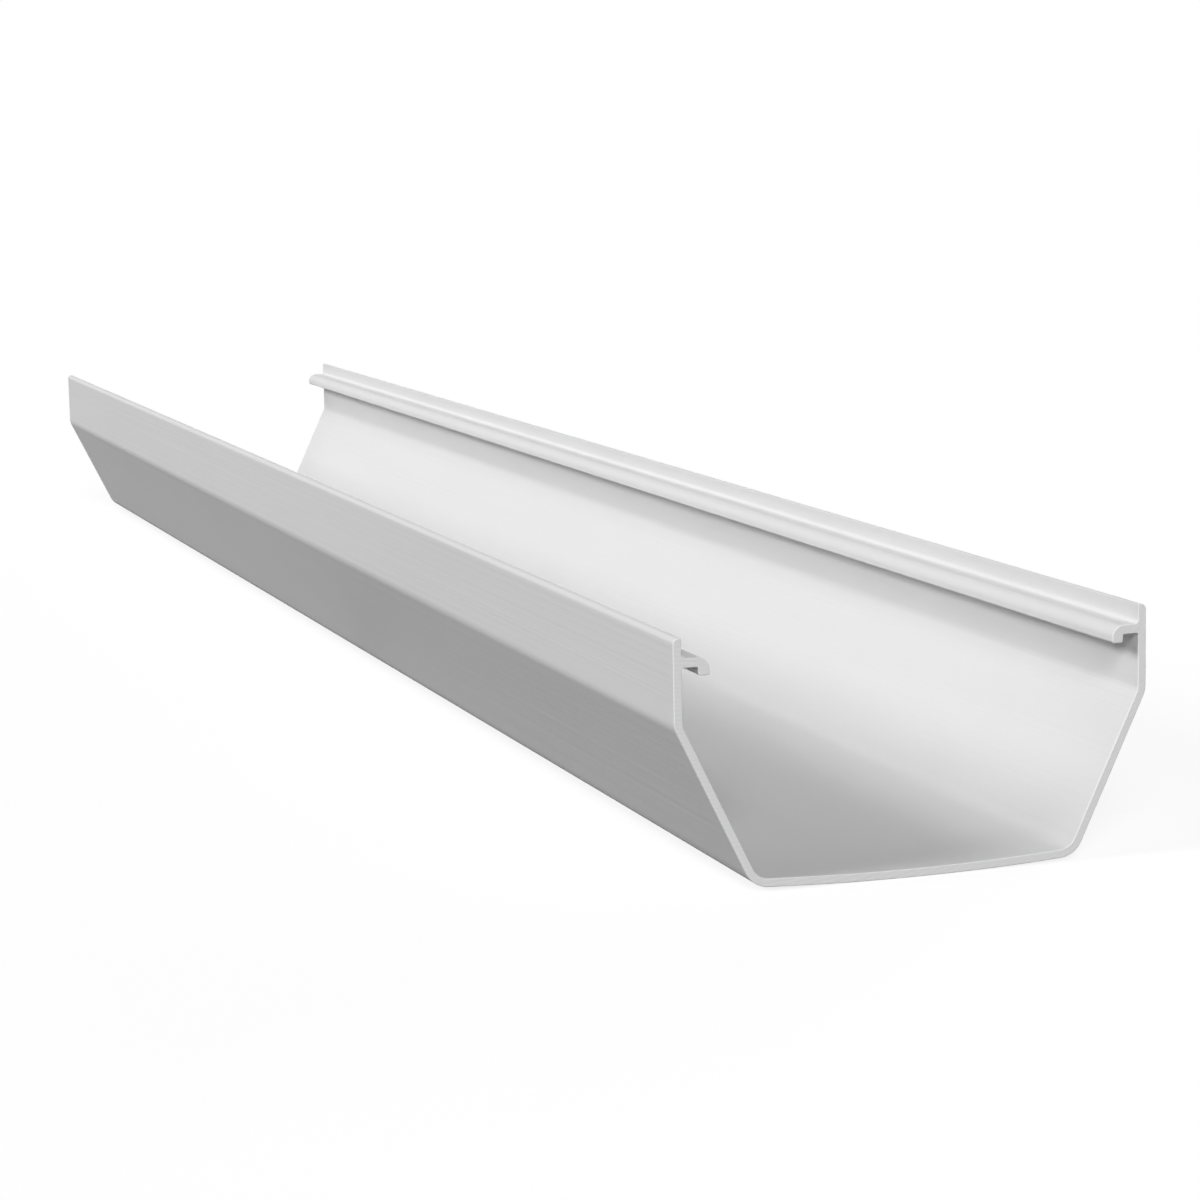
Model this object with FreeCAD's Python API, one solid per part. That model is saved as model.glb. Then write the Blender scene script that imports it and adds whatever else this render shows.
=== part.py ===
"""Trapezoidal rainwater gutter, one extruded PVC-U section cut square at both ends.

Millimetres, +Z up.  The section lies in the XZ plane and runs along Y.  The origin is under
the middle of the length, at the lowest line of the bowed floor.

The section from the rim down, the same on both sides: a rim rounded on its outer edge, an upright
rim wall with a hooked clip bead on its inner face, a bend, a sloping side, a floor bend, and a
floor that bows down a little so that the last water runs along the middle.
"""

import os

import FreeCAD, Part

# Trough
gutter_length = 1000.0
overall_width = 148.0
overall_height = 75.5
wall_thickness = 2.5
rim_wall_height = 26.0      # rim to the point where the rim wall and the side would meet
floor_width = 102.0         # between the points where the sides and the floor would meet
floor_bow = 1.6             # middle of the floor below those points
side_bend_radius = 7.5      # outer face, between rim wall and side
floor_bend_radius = 8.0     # outer face, between side and floor
rim_outer_radius = 1.8
rim_inner_radius = 0.4

# Clip bead: an arm from the rim wall that turns down into a lip
bead_drop = 5.9             # rim to the top of the arm
arm_thickness = 2.8
bead_reach = 8.4            # inner face of the rim wall to the nose of the bead
bead_depth = 5.3            # top of the arm to the foot of the lip
lip_thickness = 3.4
nose_radius = 3.7
lip_edge_radius = 0.7       # both edges of the foot
lip_root_radius = 0.5       # lip to the underside of the arm
arm_top_root_radius = 1.3   # arm to rim wall, above
arm_under_root_radius = 0.6

# Places that follow from the sizes above
rim_z = overall_height
side_bend_z = rim_z - rim_wall_height
floor_corner_z = floor_bow
outer_x = overall_width / 2
inner_x = outer_x - wall_thickness
floor_corner_x = floor_width / 2
arm_top_z = rim_z - bead_drop
arm_under_z = arm_top_z - arm_thickness
nose_x = inner_x - bead_reach
lip_foot_z = arm_top_z - bead_depth
lip_back_x = nose_x + lip_thickness

SAME_PLACE = 1e-4           # two points closer than this are one


def section_point(x, z):
    """A point of the section, in the plane of the end at -Y."""
    return FreeCAD.Vector(x, -gutter_length / 2, z)


def section_line(start, end):
    return Part.LineSegment(section_point(*start), section_point(*end)).toShape()


def section_arc(start, middle, end):
    return Part.Arc(section_point(*start), section_point(*middle), section_point(*end)).toShape()


def extruded(edges):
    """The solid that a closed outline of the section makes along the whole length."""
    face = Part.Face(Part.Wire(edges))
    return face.extrude(FreeCAD.Vector(0, gutter_length, 0))


def long_edges_at(solid, places):
    """The edges along the length that pass through the given (x, z) places."""
    found = []
    for edge in solid.Edges:
        start, end = edge.Vertexes[0].Point, edge.Vertexes[-1].Point
        runs_along = abs(abs(end.y - start.y) - gutter_length) < SAME_PLACE
        for x, z in places:
            if runs_along and abs(start.x - x) < SAME_PLACE and abs(start.z - z) < SAME_PLACE:
                found.append(edge)
    return found


def both_sides(places):
    """The places and their mirror images in the plane x = 0."""
    return [(side * x, z) for side in (1, -1) for x, z in places]


def trough():
    """The open channel: a solid bar of the outer shape, its bends rounded, then shelled."""
    rim_right, rim_left = (outer_x, rim_z), (-outer_x, rim_z)
    bend_right, bend_left = (outer_x, side_bend_z), (-outer_x, side_bend_z)
    corner_right, corner_left = (floor_corner_x, floor_corner_z), (-floor_corner_x, floor_corner_z)
    bar = extruded([
        section_line(rim_left, bend_left),
        section_line(bend_left, corner_left),
        section_arc(corner_left, (0, floor_corner_z - floor_bow), corner_right),
        section_line(corner_right, bend_right),
        section_line(bend_right, rim_right),
        section_line(rim_right, rim_left),
    ])
    bar = bar.makeFillet(side_bend_radius, long_edges_at(bar, both_sides([bend_right])))
    bar = bar.makeFillet(floor_bend_radius, long_edges_at(bar, both_sides([corner_right])))
    half_length = gutter_length / 2
    open_faces = [
        face for face in bar.Faces
        if abs(face.BoundBox.ZMin - rim_z) < SAME_PLACE
        or abs(face.BoundBox.YMin - half_length) < SAME_PLACE
        or abs(face.BoundBox.YMax + half_length) < SAME_PLACE
    ]
    return bar.makeThickness(open_faces, -wall_thickness, SAME_PLACE)


def clip_bead(side):
    """The hooked bead on one rim wall: side is 1 for +X and -1 for -X."""
    buried_x = inner_x + wall_thickness / 2
    nose_start = (side * (nose_x + nose_radius), arm_top_z)
    slant = nose_radius * (1 - 0.5 ** 0.5)
    nose_middle = (side * (nose_x + slant), arm_top_z - slant)
    nose_end = (side * nose_x, arm_top_z - nose_radius)
    root_top, root_under = (side * buried_x, arm_top_z), (side * buried_x, arm_under_z)
    foot_front, foot_back = (side * nose_x, lip_foot_z), (side * lip_back_x, lip_foot_z)
    lip_root = (side * lip_back_x, arm_under_z)
    bead = extruded([
        section_line(root_top, nose_start),
        section_arc(nose_start, nose_middle, nose_end),
        section_line(nose_end, foot_front),
        section_line(foot_front, foot_back),
        section_line(foot_back, lip_root),
        section_line(lip_root, root_under),
        section_line(root_under, root_top),
    ])
    bead = bead.makeFillet(lip_edge_radius, long_edges_at(bead, [foot_front, foot_back]))
    return bead.makeFillet(lip_root_radius, long_edges_at(bead, [lip_root]))


def gutter():
    """The whole section: trough and beads as one piece, with its rims and bead roots rounded."""
    solid = trough().fuse([clip_bead(1), clip_bead(-1)]).removeSplitter()
    edges_to_round = [
        (rim_outer_radius, (outer_x, rim_z)),
        (rim_inner_radius, (inner_x, rim_z)),
        (arm_top_root_radius, (inner_x, arm_top_z)),
        (arm_under_root_radius, (inner_x, arm_under_z)),
    ]
    for radius, place in edges_to_round:
        solid = solid.makeFillet(radius, long_edges_at(solid, both_sides([place])))
    return solid


os.makedirs("parts", exist_ok=True)
shape = gutter()
solid = shape.Solids[0]
box = solid.BoundBox
print("solids", len(shape.Solids), "valid", solid.isValid(), "volume mm3", round(solid.Volume, 1))
print("size mm", round(box.XLength, 3), round(box.YLength, 3), round(box.ZLength, 3))
print("lowest z mm", round(box.ZMin, 4), "centre x, y", round(box.Center.x, 4), round(box.Center.y, 4))
solid.exportStep("parts/gutter.step")
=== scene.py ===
# %% [markdown]
# # A length of box gutter in white PVC-U
#
# A rainwater gutter like this is drawn through a steel die as one endless bar and sawn into
# lengths.  Everything that shows therefore comes from one flat outline, the die's, and from two
# saw cuts.  The lesson works out that outline with numpy, carries it along the length, and then
# spends its time on the two finishes: the skin that slid along the die, and the sawn ends.
#
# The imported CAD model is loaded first, and everything made here lies in its frame: metres, +Z up,
# +Y along the gutter.

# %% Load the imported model
import math

import bpy
import numpy as np
from mathutils import Matrix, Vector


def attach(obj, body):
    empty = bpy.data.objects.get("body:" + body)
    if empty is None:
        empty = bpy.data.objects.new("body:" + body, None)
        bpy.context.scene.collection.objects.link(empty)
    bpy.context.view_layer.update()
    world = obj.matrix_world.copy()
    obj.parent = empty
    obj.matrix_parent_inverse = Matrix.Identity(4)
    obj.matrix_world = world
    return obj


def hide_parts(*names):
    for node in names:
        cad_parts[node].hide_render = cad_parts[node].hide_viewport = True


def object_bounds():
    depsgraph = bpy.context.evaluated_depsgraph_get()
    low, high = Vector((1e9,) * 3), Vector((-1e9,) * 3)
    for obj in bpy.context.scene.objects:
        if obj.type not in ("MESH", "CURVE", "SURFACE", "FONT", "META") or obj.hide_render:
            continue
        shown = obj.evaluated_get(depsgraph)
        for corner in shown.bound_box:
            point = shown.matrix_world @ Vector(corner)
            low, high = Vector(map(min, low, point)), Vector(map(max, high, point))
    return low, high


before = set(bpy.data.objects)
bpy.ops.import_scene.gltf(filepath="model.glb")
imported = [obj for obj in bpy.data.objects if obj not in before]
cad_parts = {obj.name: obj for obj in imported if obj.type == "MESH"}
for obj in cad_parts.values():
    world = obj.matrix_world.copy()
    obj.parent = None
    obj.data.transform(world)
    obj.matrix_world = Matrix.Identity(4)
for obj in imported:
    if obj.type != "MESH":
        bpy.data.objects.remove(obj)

MM = 0.001                                      # metres in a millimetre
cad_low, cad_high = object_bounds()
width, length, height = ((high - low) / MM for low, high in zip(cad_low, cad_high))
print(f"CAD box: {width:.1f} mm across, {length:.1f} mm long, {height:.1f} mm high")

# %% [markdown]
# ## The outline of the die
#
# Half of the section is a list of corners, each with the radius that rounds it.  The outer line
# starts in the middle of the floor, which bows down so that the last water runs there, and goes
# out to the floor bend, up the sloping side to the side bend, and up the rim wall to the rim.
# The inner line is the same one moved in by the wall's thickness.  The clip bead, the hook that
# brackets snap over, hangs from it just under the rim.
#
# A curve object with a bevel would also do, but it gives little say over where its points fall.
# Rounding the corners in numpy puts them in the bends and leaves the flats bare.

# %% The sizes of the section, in millimetres
wall = 2.5
rim_wall = 26.0                                 # rim to where rim wall and side would meet
floor_width = 102.0                             # between where the sides and the floor would meet
floor_bow = 1.6                                 # drop of the floor's middle below its edges
side_bend, floor_bend = 7.5, 8.0                # radii of the outer face
rim_outer, rim_inner = 1.8, 0.4                 # radii
bead_drop = 5.9                                 # rim to the top of the bead's arm
bead_arm = 2.8                                  # thickness
bead_reach = 8.4                                # rim wall to the bead's nose
bead_depth = 5.3                                # top of the arm to the foot of the lip
bead_lip = 3.4                                  # thickness
nose, lip_foot, lip_root = 3.7, 0.7, 0.5        # radii
root_above, root_below = 1.3, 0.6               # radii where the arm leaves the wall

# %% The outer line of the half section
BOW_POINTS = 13                                 # from the middle of the floor to its bend
BEND_ROOM = 7.0                                 # mm of floor beside the bend, without points

half_floor = floor_width / 2
bow_radius = (half_floor ** 2 + floor_bow ** 2) / (2 * floor_bow)
bow_x = np.linspace(0, half_floor - BEND_ROOM, BOW_POINTS)
bow_z = bow_radius - np.sqrt(bow_radius ** 2 - bow_x ** 2)
outer_line = np.vstack([
    np.column_stack([bow_x, bow_z]),
    [[half_floor, floor_bow], [width / 2, height - rim_wall], [width / 2, height]],
])
print(f"floor bow radius {bow_radius:.0f} mm")

# %% The inner line, one wall's thickness in
def unit(vectors):
    """Each vector divided by its own length."""
    return vectors / np.linalg.norm(vectors, axis=-1, keepdims=True)


def moved_in(line, distance):
    """The line moved to its left.  At a corner between runs with left normals a and b, the
    point moves by distance * (a + b) / (1 + a.b), which keeps both runs at that distance."""
    runs = unit(np.diff(line, axis=0))
    left = np.column_stack([-runs[:, 1], runs[:, 0]])
    before, after = np.vstack([left[:1] * [-1, 1], left]), np.vstack([left, left[-1:]])
    share = 1 + (before * after).sum(axis=1, keepdims=True)
    return line + distance * (before + after) / share


inner_line = moved_in(outer_line, wall)
print("inner floor corner at", inner_line[-3].round(2), "mm")

# %% The corners of the half section, from the floor's underside to its upper face
arm_top = height - bead_drop
arm_under = arm_top - bead_arm
foot = arm_top - bead_depth
wall_x = width / 2 - wall
nose_x = wall_x - bead_reach
lip_back_x = nose_x + bead_lip
bead_corners = [
    (wall_x, arm_top, root_above), (nose_x, arm_top, nose),
    (nose_x, foot, lip_foot), (lip_back_x, foot, lip_foot),
    (lip_back_x, arm_under, lip_root), (wall_x, arm_under, root_below),
]
outer_radii = [0.0] * len(bow_x) + [floor_bend, side_bend, rim_outer]
inner_radii = [0.0] * len(bow_x) + [floor_bend - wall, side_bend - wall, rim_inner]
outer_corners = np.column_stack([outer_line, outer_radii])
inner_corners = np.column_stack([inner_line, inner_radii])[::-1]
half_corners = np.vstack([outer_corners, inner_corners[:1], bead_corners, inner_corners[1:]])
print(len(half_corners), "corners in half the section")

# %% Rounding the corners
ARC_STEP = math.radians(4)                      # between neighbouring points of an arc
FEWEST_STEPS = 3                                # in an arc, however small its turn
GUARD = 0.1                                     # mm of straight beside each arc


def rounded(corners):
    """The points of an open line whose corners (x, z, radius) are rounded.  A corner that turns
    by an angle t meets its arc at radius * tan(t / 2) to either side.  The arc's points lie on
    a circle whose centre is that far back and one radius to the side.  A guard point on each
    straight beside the arc keeps smooth shading inside the bend."""
    points = [corners[:1, :2]]
    for before, (x, z, radius), after in zip(corners[:-2], corners[1:-1], corners[2:]):
        corner = np.array([x, z])
        if radius == 0:
            points.append(corner[None])
            continue
        run_in, run_out = unit(corner - before[:2]), unit(after[:2] - corner)
        turn = math.atan2(run_in[0] * run_out[1] - run_in[1] * run_out[0], run_in @ run_out)
        cut = radius * math.tan(abs(turn) / 2)
        side = math.copysign(1, turn) * np.array([-run_in[1], run_in[0]])
        centre = corner - cut * run_in + radius * side
        steps = max(FEWEST_STEPS, round(abs(turn) / ARC_STEP))
        angle = np.linspace(0, abs(turn), steps + 1)[:, None]
        arc = centre + radius * (np.sin(angle) * run_in - np.cos(angle) * side)
        points += [arc[:1] - GUARD * run_in, arc, arc[-1:] + GUARD * run_out]
    return np.vstack(points + [corners[-1:, :2]])


right_half = rounded(half_corners)
left_half = right_half[::-1][1:-1] * [-1, 1]
outline = np.vstack([right_half, left_half])
print(len(outline), "points round the whole section")

# %% [markdown]
# ## The outline carried along the length
#
# The real bar leaves the die with the same section everywhere, so the surface is a grid: one
# parameter runs round the outline, the other along the length.  A saw leaves the edge of its cut
# slightly broken, so the outline shrinks by a fraction of a millimetre over the last bit of each
# end.  The two ends are closed by one flat face each, which gets a finish of its own.
#
# An extruded outline with a Bevel modifier would come close, but that modifier would also round
# the bends of the section, which are already there.  With a grid, each row is put where it is
# wanted.

# %% Stations along the length
EDGE_BREAK = 0.18                               # mm taken off the edges of a saw cut
BREAK_GUARD = 0.3                               # mm from the break to the first full station
STATION_GAP = 12.5                              # mm between the others

half_length = length / 2
from_end = np.array([0.0, EDGE_BREAK, EDGE_BREAK + BREAK_GUARD])
between = np.linspace(-half_length, half_length, round(length / STATION_GAP) + 1)[1:-1]
stations = np.concatenate([from_end - half_length, between, half_length - from_end[::-1]])
shrink = np.zeros(len(stations))
shrink[[0, -1]] = EDGE_BREAK
print(len(stations), "stations")

# %% The grid of vertices
def carried(profile, along, inwards):
    """Vertices (x, y, z) for every station and every point of a closed profile.  The profile's
    inward normal is its tangent, from the point before to the point after, turned left.  At a
    station the profile is moved along that normal by the station's share of inwards."""
    tangent = unit(np.roll(profile, -1, axis=0) - np.roll(profile, 1, axis=0))
    inward = np.column_stack([-tangent[:, 1], tangent[:, 0]])
    section = profile[None] + inwards[:, None, None] * inward[None]
    place = np.broadcast_to(along[:, None, None], section[..., :1].shape)
    return np.concatenate([section[..., :1], place, section[..., 1:]], axis=2)


def grid_faces(rows, columns):
    """Four-sided faces between neighbouring points of a grid that is closed round its columns."""
    point = np.arange(rows * columns).reshape(rows, columns)
    beside = np.roll(point, -1, axis=1)
    corners = [point[:-1], point[1:], beside[1:], beside[:-1]]
    return np.stack(corners, axis=2).reshape(-1, 4)


grid = carried(outline, stations, shrink)
skin = grid_faces(*grid.shape[:2])
around = grid.shape[1]
near_end = np.arange(around)
far_end = np.arange(grid[..., 0].size - around, grid[..., 0].size)[::-1]
print(f"{len(skin)} faces on the skin, one of {around} corners on each sawn end")

# %% The mesh
def mesh_object(name, points, faces):
    """A new object in the scene whose mesh has these points, in metres, and these faces."""
    mesh = bpy.data.meshes.new(name)
    mesh.from_pydata(points.tolist(), [], faces)
    mesh.validate()
    made = bpy.data.objects.new(name, mesh)
    bpy.context.scene.collection.objects.link(made)
    return made


gutter = mesh_object(
    "gutter_section",
    grid.reshape(-1, 3) * MM,
    skin.tolist() + [near_end.tolist(), far_end.tolist()],
)
print(gutter.name, len(gutter.data.vertices), "vertices", len(gutter.data.polygons), "faces")

# %% Which faces are skin and which are sawn
SKIN, SAWN = 0, 1                               # material indices
is_end = np.zeros(len(gutter.data.polygons), dtype=bool)
is_end[-2:] = True
row = np.repeat(np.arange(len(stations) - 1), around)
is_break = np.concatenate([(row == 0) | (row == len(stations) - 2), [False, False]])
gutter.data.polygons.foreach_set("use_smooth", ~(is_end | is_break))
gutter.data.polygons.foreach_set("material_index", np.where(is_end | is_break, SAWN, SKIN))
gutter.data.update()
area = sum(face.area for face in gutter.data.polygons if face.material_index == SKIN)
print(f"skin {area:.3f} m2, sawn end {gutter.data.polygons[-1].area / MM ** 2:.0f} mm2")

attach(gutter, "root")
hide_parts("gutter")

# %% [markdown]
# ## Finishes
#
# Both finishes are one plastic, PVC-U: a vinyl with no softener, made white and opaque by
# titanium dioxide.  What differs is how each surface was made.  The skin took its surface from
# the polished steel of the die and has faint lines along the length.  The sawn ends were torn by
# the teeth of a blade and are scored.
#
# Each could be a painted image laid on with a UV map.  Node materials in Object coordinates suit
# them better, because the gutter's own axes are the directions in which the die and the saw
# worked, one unit there is one metre, and no seam can show where an image would meet itself.

# %% Helpers for colours and nodes
def linear(hex_colour):
    """An sRGB hex colour as linear red, green, blue and an alpha of 1."""
    value = np.array([int(hex_colour[i:i + 2], 16) for i in (1, 3, 5)]) / 255
    low, high = value / 12.92, ((value + 0.055) / 1.055) ** 2.4
    return (*np.where(value <= 0.04045, low, high), 1.0)


def node(tree, kind, settings=None, **inputs):
    """Adds a node to the tree.  The settings are its properties.  An input is a value, or an
    output socket that is linked to it.  Its name has underscores for spaces, or is i and the
    socket's number where several sockets share a name."""
    added = tree.nodes.new(kind)
    for name, value in (settings or {}).items():
        setattr(added, name, value)
    for name, value in inputs.items():
        key = int(name[1:]) if name[1:].isdigit() else name.replace("_", " ")
        socket = added.inputs[key]
        if isinstance(value, bpy.types.NodeSocket):
            tree.links.new(value, socket)
        else:
            socket.default_value = value
    return added


def new_material(name):
    """An empty node material and its tree."""
    material = bpy.data.materials.new(name)
    material.use_nodes = True
    material.node_tree.nodes.clear()
    return material, material.node_tree


def per_metre(size_mm):
    """How many times a pattern of that size in millimetres repeats in a metre."""
    return 1 / (size_mm * MM)


# %% [markdown]
# ### Extruded PVC-U
#
# Melt that slides along steel keeps the steel's fine scratches as lines that run the whole
# length, and it shrinks a little unevenly as it cools in the water bath, which leaves a very
# shallow waviness.  White gutter is made with enough filler to kill the shine, so the eye sees
# neither as a shape.  It sees a soft, even white, a trace cloudy, in which light is drawn out
# along the gutter.
#
# One stretched noise makes the lines: squeezed across the gutter, pulled long along it.  A Wave
# texture would give lines too, but evenly spaced ones, which a die never leaves.  The same lines
# set the roughness, because a groove holds less polish than the flat beside it.

# %% Extruded PVC-U: its colours and sizes
PVC_WHITE = "#E7E7E7"
PVC_CLOUD = "#E3E3E3"
PVC_IOR = 1.53
PVC_SPECULAR = 0.12                             # 0.5 is an unfilled, polished plastic
SKIN_ROUGHNESS = (0.58, 0.68)                   # on a flat, in a line
die_line_gap = 1.4                              # mm
die_line_depth = 0.09                           # mm; real ones are far shallower, and closer
die_line_length = 900.0                         # mm over which a line stays the same
ripple_size = 26.0                              # mm across the gutter
ripple_length = 104.0                           # mm along it
ripple_depth = 0.12                             # mm
NOISE_LOW, NOISE_HIGH = 0.3, 0.7                # between which nearly all of a noise lies
print(f"die lines {die_line_gap} mm apart, ripples {ripple_size:.0f} by {ripple_length:.0f} mm")

# %% Its patterns: lines drawn out along the gutter, and a shallow ripple
extruded, tree = new_material("extruded_pvc_u")
place = node(tree, "ShaderNodeTexCoord").outputs["Object"]
drawn_out = node(
    tree, "ShaderNodeMapping", Vector=place,
    Scale=(per_metre(die_line_gap), per_metre(die_line_length), per_metre(die_line_gap)),
)
die_lines = node(
    tree, "ShaderNodeTexNoise", Vector=drawn_out.outputs["Vector"],
    Scale=1.0, Detail=3.0, Roughness=0.6,
)
stretched = node(
    tree, "ShaderNodeMapping", Vector=place,
    Scale=(per_metre(ripple_size), per_metre(ripple_length), per_metre(ripple_size)),
)
ripple = node(
    tree, "ShaderNodeTexNoise", Vector=stretched.outputs["Vector"],
    Scale=1.0, Detail=2.0, Roughness=0.45,
)
print(extruded.name, "patterns:", len(tree.nodes), "nodes")

# %% Its surface: soft white, a trace cloudy, rougher in the lines
cloud = node(
    tree, "ShaderNodeMix", {"data_type": "RGBA"},
    i0=ripple.outputs["Fac"], i6=linear(PVC_WHITE), i7=linear(PVC_CLOUD),
)
satin = node(
    tree, "ShaderNodeMapRange", Value=die_lines.outputs["Fac"],
    From_Min=NOISE_LOW, From_Max=NOISE_HIGH, To_Min=SKIN_ROUGHNESS[1], To_Max=SKIN_ROUGHNESS[0],
)
waved = node(
    tree, "ShaderNodeBump", Height=ripple.outputs["Fac"],
    Strength=1.0, Distance=ripple_depth * MM,
)
lined = node(
    tree, "ShaderNodeBump", Height=die_lines.outputs["Fac"], Normal=waved.outputs["Normal"],
    Strength=1.0, Distance=die_line_depth * MM,
)
plastic = node(
    tree, "ShaderNodeBsdfPrincipled", Base_Color=cloud.outputs[2],
    Roughness=satin.outputs["Result"], IOR=PVC_IOR, Specular_IOR_Level=PVC_SPECULAR,
    Normal=lined.outputs["Normal"],
)
node(tree, "ShaderNodeOutputMaterial", Surface=plastic.outputs["BSDF"])
print(extruded.name, len(tree.nodes), "nodes")

# %% [markdown]
# ### Saw-cut PVC-U
#
# A circular saw comes down on the bar and drags chips across the cut.  It leaves the same white,
# quite matt, scored by the rim of the blade in shallow arcs about a millimetre apart, with grains
# of torn plastic between them.
#
# The arcs are a Wave texture in rings.  Its centre is moved to where the saw's hub was, and its
# length axis is flattened, so that the rings lie in the plane of the cut.  The texture makes one
# wave for every turn of the circle in 20 units, so its scale needs that factor.

# %% Saw-cut PVC-U: its colours and sizes
SAWN_WHITE = "#E7E7E7"
SAWN_DUST = "#DEDEDE"
SAWN_ROUGHNESS = (0.66, 0.8)                    # on smooth plastic, on chips
tooth_gap = 1.3                                 # mm between the marks of two teeth
tooth_depth = 0.03                              # mm, of the marks and of the chips
tooth_stray = 1.5                               # how far a mark strays from its circle
blade_radius = 150.0                            # mm; a common 300 mm chop saw
hub_aside = 60.0                                # mm from the gutter's middle towards -X
grit = 0.5                                      # mm; real grains are a fifth of that
WAVE_UNITS = math.tau / 20                      # a Wave texture's wavelength at scale 1
print(f"saw marks {tooth_gap} mm apart, on arcs of about {blade_radius:.0f} mm")

# %% Its patterns: arcs from the blade's rim, and torn chips
sawn, tree = new_material("saw_cut_pvc_u")
place = node(tree, "ShaderNodeTexCoord").outputs["Object"]
from_hub = node(
    tree, "ShaderNodeMapping", Vector=place, Scale=(1.0, 0.0, 1.0),
    Location=(hub_aside * MM, 0.0, -(height + blade_radius) * MM),
)
marks = node(
    tree, "ShaderNodeTexWave", {"wave_type": "RINGS", "rings_direction": "SPHERICAL"},
    Vector=from_hub.outputs["Vector"], Scale=WAVE_UNITS * per_metre(tooth_gap),
    Distortion=tooth_stray, Detail=2.0, Detail_Scale=0.4,
)
chips = node(
    tree, "ShaderNodeTexNoise", Vector=place, Scale=per_metre(grit), Detail=4.0, Roughness=0.65,
)
print(sawn.name, "patterns:", len(tree.nodes), "nodes")

# %% Its surface: matt white, dusty and roughest on the chips
dust = node(
    tree, "ShaderNodeMix", {"data_type": "RGBA"},
    i0=chips.outputs["Fac"], i6=linear(SAWN_WHITE), i7=linear(SAWN_DUST),
)
matt = node(
    tree, "ShaderNodeMapRange", Value=chips.outputs["Fac"],
    From_Min=NOISE_LOW, From_Max=NOISE_HIGH, To_Min=SAWN_ROUGHNESS[0], To_Max=SAWN_ROUGHNESS[1],
)
scored = node(
    tree, "ShaderNodeBump", Height=marks.outputs["Fac"],
    Strength=1.0, Distance=tooth_depth * MM,
)
torn = node(
    tree, "ShaderNodeBump", Height=chips.outputs["Fac"], Normal=scored.outputs["Normal"],
    Strength=1.0, Distance=tooth_depth * MM,
)
cut_plastic = node(
    tree, "ShaderNodeBsdfPrincipled", Base_Color=dust.outputs[2],
    Roughness=matt.outputs["Result"], IOR=PVC_IOR, Specular_IOR_Level=PVC_SPECULAR,
    Normal=torn.outputs["Normal"],
)
node(tree, "ShaderNodeOutputMaterial", Surface=cut_plastic.outputs["BSDF"])
print(sawn.name, len(tree.nodes), "nodes")

# %% The finishes on the gutter, in the order of SKIN and SAWN
gutter.data.materials.append(extruded)
gutter.data.materials.append(sawn)
print("finishes:", [material.name for material in gutter.data.materials])

# %% [markdown]
# ## The lamps
#
# White on white shows its shape only by how the light falls off from face to face, so nearly all
# of the light that the camera sees comes from one side.  A lamp square to the gutter's left gives
# the walls and the inner slope their brightness and leaves the outer slope, which leans away, in
# half shade.  A stronger one in front shines along the trough, where no wall can shade the floor.
# A low one beside it lights the sawn end and only skims the floor.  A low one behind the far wall
# reaches almost nothing that the camera sees, because the wall is in its way: it keeps the back
# and the far side pale in other views.
#
# Softboxes would do this in a studio.  Sun lamps are used here, because parallel light shades a
# metre of gutter evenly from end to end, and their width in degrees softens the shadows as the
# size of a softbox would.

# %% The lamps
AMBIENT = 0.035                                 # light from everywhere, where 1 is full white
# name, degrees round from -X towards -Y, degrees up, share of full white square on, degrees across
LAMPS = [
    ("side", 0.0, 30.0, 0.53, 20.0),
    ("front", 70.0, 31.0, 0.64, 20.0),
    ("low_front", 88.0, 5.0, 0.22, 14.0),
    ("back_fill", 218.0, 8.0, 0.55, 24.0),
]


def sun(name, around, up, share, across):
    """A distant lamp, its -Z axis turned away from where it stands.  White that faces a lamp of
    strength pi squarely renders as full white, so the share is multiplied by pi."""
    data = bpy.data.lights.new(name, "SUN")
    data.energy = share * math.pi
    data.angle = math.radians(across)
    lamp = bpy.data.objects.new(name, data)
    a, e = math.radians(around), math.radians(up)
    stands = np.array([-math.cos(a) * math.cos(e), -math.sin(a) * math.cos(e), math.sin(e)])
    lamp.location = stands.tolist()
    lamp.rotation_mode = "QUATERNION"
    lamp.rotation_quaternion = lamp.location.to_track_quat("Z", "Y")
    bpy.context.scene.collection.objects.link(lamp)


for lamp_row in LAMPS:
    sun(*lamp_row)
level_light = AMBIENT + sum(share * math.sin(math.radians(up)) for _, _, up, share, _ in LAMPS)
print(f"{len(LAMPS)} lamps; a level white surface gets {level_light:.2f} of full white")

# %% [markdown]
# ## The floor and the world
#
# Both have to look white behind a white product, without the flood of light that a really white
# room would throw into the shaded slope.  So each has two looks.  To the camera, and in
# reflections, it is white.  To all other rays it is what the light needs it to be: a grey
# floor and a dim sky.
#
# A curved paper backdrop is what a studio would use.  A flat floor that runs on far past the
# view looks the same behind so small a thing, from every side, and needs no bend.
#
# The white that is seen of the floor is part glow and part a surface that the lamps light.  The
# glow makes up just what the lamps leave short of white, so the open floor matches the sky
# exactly, and only the object's own soft shadow darkens it.

# %% The floor
FLOOR_SIZE = 60.0                               # metres
FLOOR_LIT_SHARE = 0.22                          # of the seen white that depends on the lamps
FLOOR_GREY = "#424242"                          # to the light that bounces
WHITE = linear("#FFFFFF")

floor_corners = np.array([[-1, -1, 0], [1, -1, 0], [1, 1, 0], [-1, 1, 0]]) * FLOOR_SIZE / 2
floor = mesh_object("floor", floor_corners, [[0, 1, 2, 3]])


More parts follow.
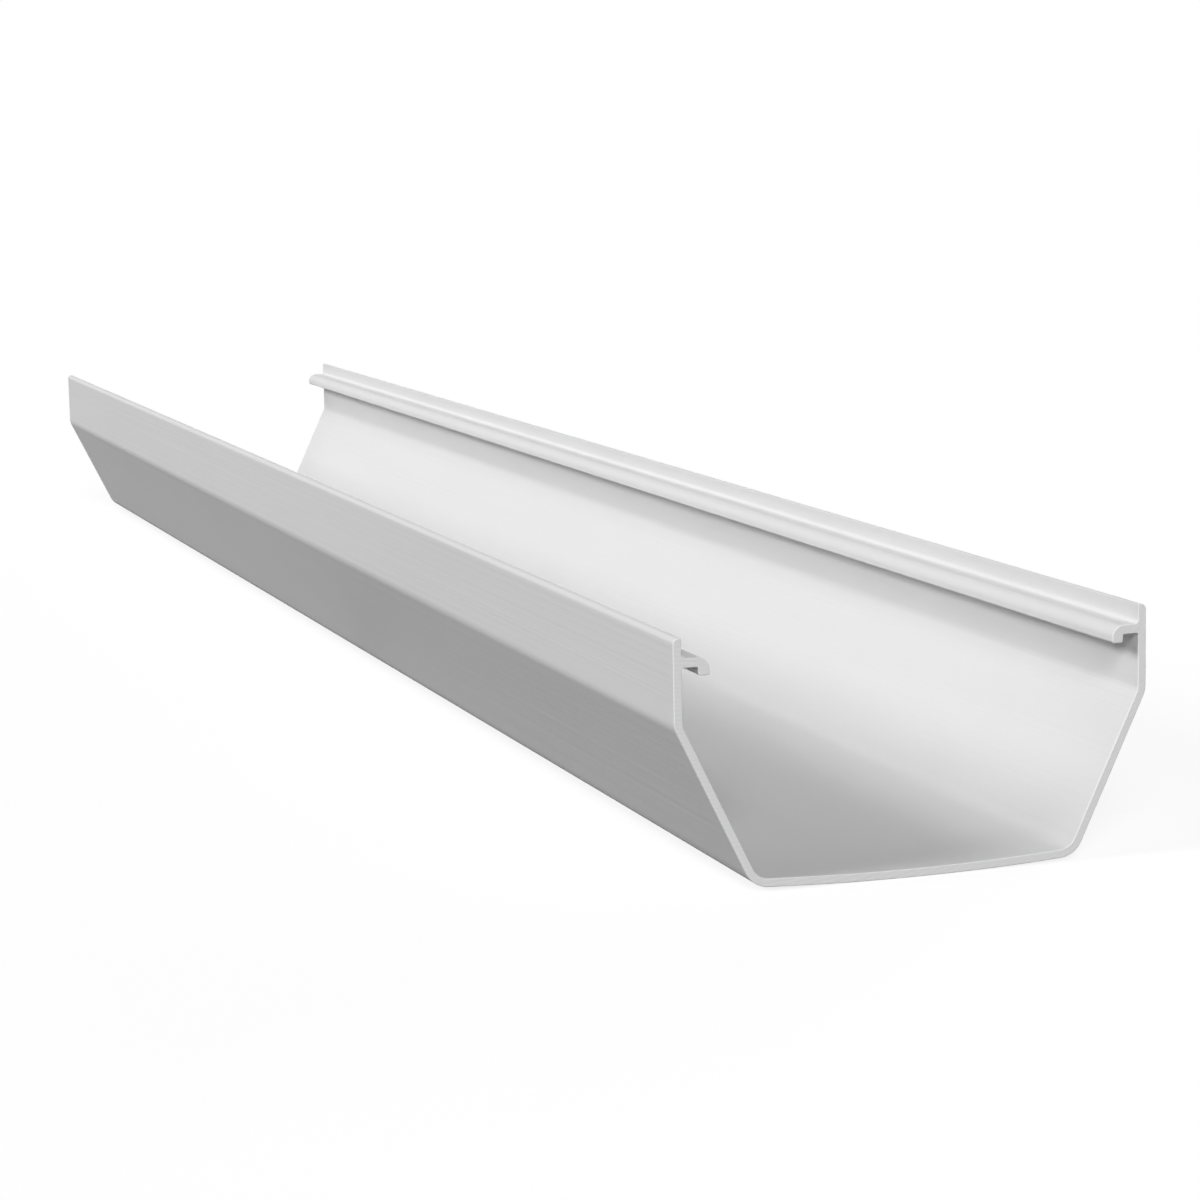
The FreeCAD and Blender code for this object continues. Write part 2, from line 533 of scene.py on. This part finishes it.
def seen_directly(tree):
    """A socket that is 1 for camera, glossy and transmission rays and 0 for all others."""
    ray = node(tree, "ShaderNodeLightPath")
    either = node(
        tree, "ShaderNodeMath", {"operation": "MAXIMUM"},
        i0=ray.outputs["Is Camera Ray"], i1=ray.outputs["Is Glossy Ray"],
    )
    return node(
        tree, "ShaderNodeMath", {"operation": "MAXIMUM"},
        i0=either.outputs["Value"], i1=ray.outputs["Is Transmission Ray"],
    ).outputs["Value"]


floor_paint, tree = new_material("plain_floor")
glow = node(
    tree, "ShaderNodeEmission",
    Color=WHITE, Strength=1 - FLOOR_LIT_SHARE * level_light,
)
lit = node(tree, "ShaderNodeBsdfDiffuse", Color=(*[FLOOR_LIT_SHARE] * 3, 1.0))
white = node(tree, "ShaderNodeAddShader", i0=glow.outputs["Emission"], i1=lit.outputs["BSDF"])
grey = node(tree, "ShaderNodeBsdfDiffuse", Color=linear(FLOOR_GREY))
two_looks = node(
    tree, "ShaderNodeMixShader", i0=seen_directly(tree),
    i1=grey.outputs["BSDF"], i2=white.outputs["Shader"],
)
node(tree, "ShaderNodeOutputMaterial", Surface=two_looks.outputs["Shader"])
floor.data.materials.append(floor_paint)
print(f"floor glow {1 - FLOOR_LIT_SHARE * level_light:.3f}")

# %% The world
world = bpy.data.worlds.new("studio")
bpy.context.scene.world = world
world.use_nodes = True
tree = world.node_tree
tree.nodes.clear()
strength = node(
    tree, "ShaderNodeMapRange", Value=seen_directly(tree), To_Min=AMBIENT, To_Max=1.0,
)
sky = node(tree, "ShaderNodeBackground", Color=WHITE, Strength=strength.outputs["Result"])
node(tree, "ShaderNodeOutputWorld", Surface=sky.outputs["Background"])
print(f"world {AMBIENT} as light, 1.0 as seen")

# %% [markdown]
# ## The camera
#
# A long lens from beyond the near left corner, a little above the rim.  It keeps the far end
# from shrinking much, so the trough shows over its whole length.
#
# The camera could be aimed at an empty by a constraint.  Three angles do it with nothing else in
# the scene: its heading round from +Y towards +X, its tilt down and a slight roll.

# %% The camera
SENSOR_WIDTH = 36.0                             # mm
LENS = 102.47                                   # mm
FARTHEST = 200.0                                # metres; well past the floor's corners
CAMERA_PLACE = (-0.3900, -1.3934, 0.2304)       # metres
HEADING, TILT, ROLL = (math.radians(value) for value in (18.257, 8.613, 1.187))

camera_data = bpy.data.cameras.new("camera")
camera_data.sensor_width = SENSOR_WIDTH
camera_data.lens = LENS
camera_data.clip_end = FARTHEST
camera = bpy.data.objects.new("camera", camera_data)
bpy.context.scene.collection.objects.link(camera)
bpy.context.scene.camera = camera

turned = (
    Matrix.Rotation(-HEADING, 4, "Z")
    @ Matrix.Rotation(math.pi / 2 - TILT, 4, "X")
    @ Matrix.Rotation(-ROLL, 4, "Z")
)
camera.matrix_world = Matrix.Translation(CAMERA_PLACE) @ turned
print("camera looks along", [round(value, 4) for value in -camera.matrix_world.col[2].xyz])

# %% [markdown]
# ## Settings
#
# The Standard view shows a colour as it is written.  Blender's default view would soften the
# contrast and turn the whites of the floor and the plastic grey.

# %% Settings and the end
bpy.context.scene.view_settings.view_transform = "Standard"
